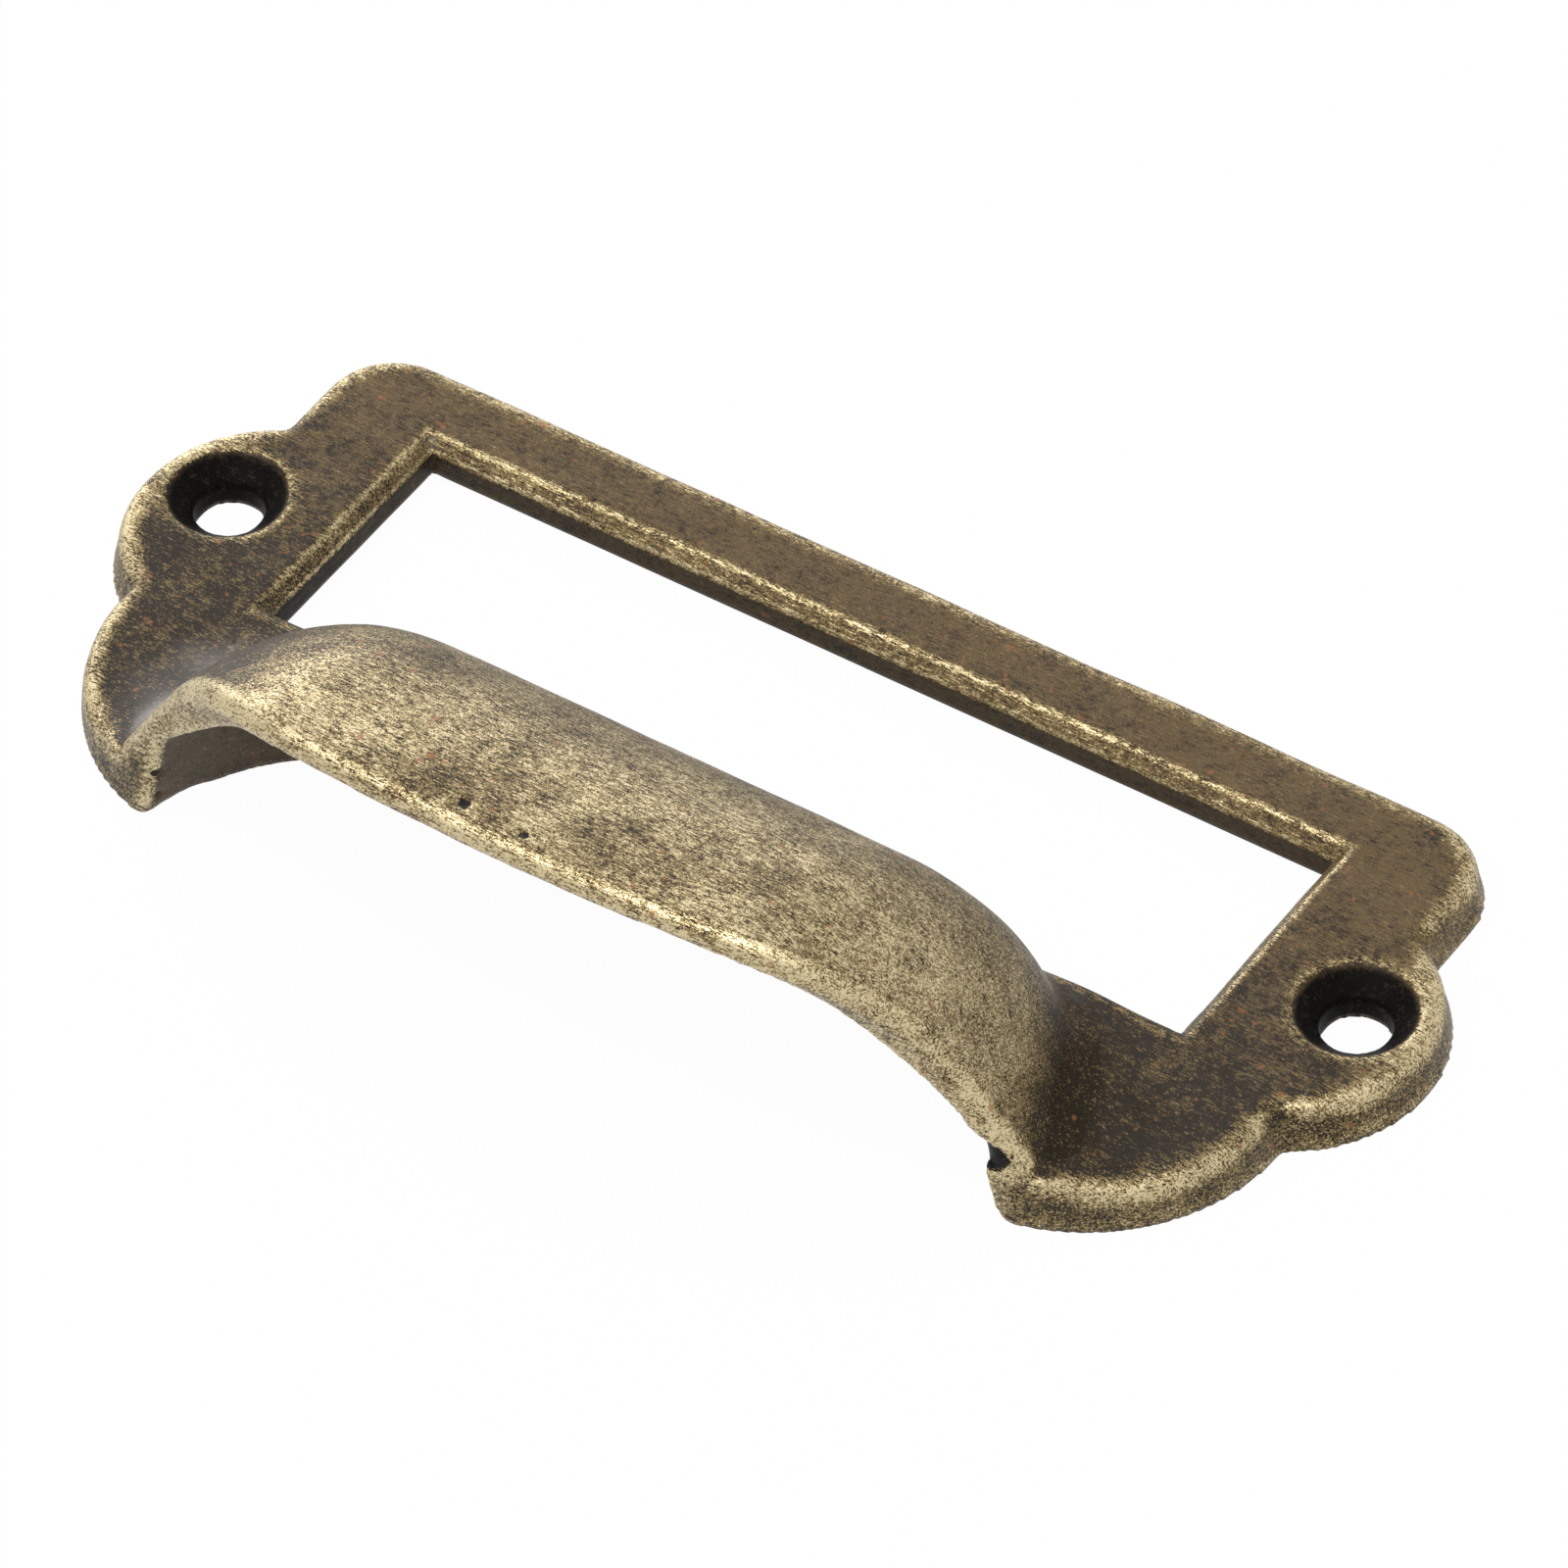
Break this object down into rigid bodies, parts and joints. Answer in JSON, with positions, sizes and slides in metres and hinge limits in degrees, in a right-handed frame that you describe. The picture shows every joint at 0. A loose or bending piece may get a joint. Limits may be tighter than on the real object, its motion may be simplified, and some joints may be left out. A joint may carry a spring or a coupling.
{
  "type": "label frame pull",
  "caption": "Cast drawer pull with an open label window in its plate, eared ends with countersunk screw holes, and a flared hollow finger pull along its front edge.",
  "frame": {"origin": "midway between the screw holes, on the back face", "axes": "+X along the plate through both screw holes, +Y away from the pull, +Z out of the drawer front"},
  "size_m": [0.0822, 0.0402, 0.0175],
  "materials": {
    "antique_brass": "antique, dark patina rubbed bright on the edges and on the pull"
  },
  "bodies": {
    "root": {"label_frame_pull": "antique_brass"}
  },
  "joints": []
}
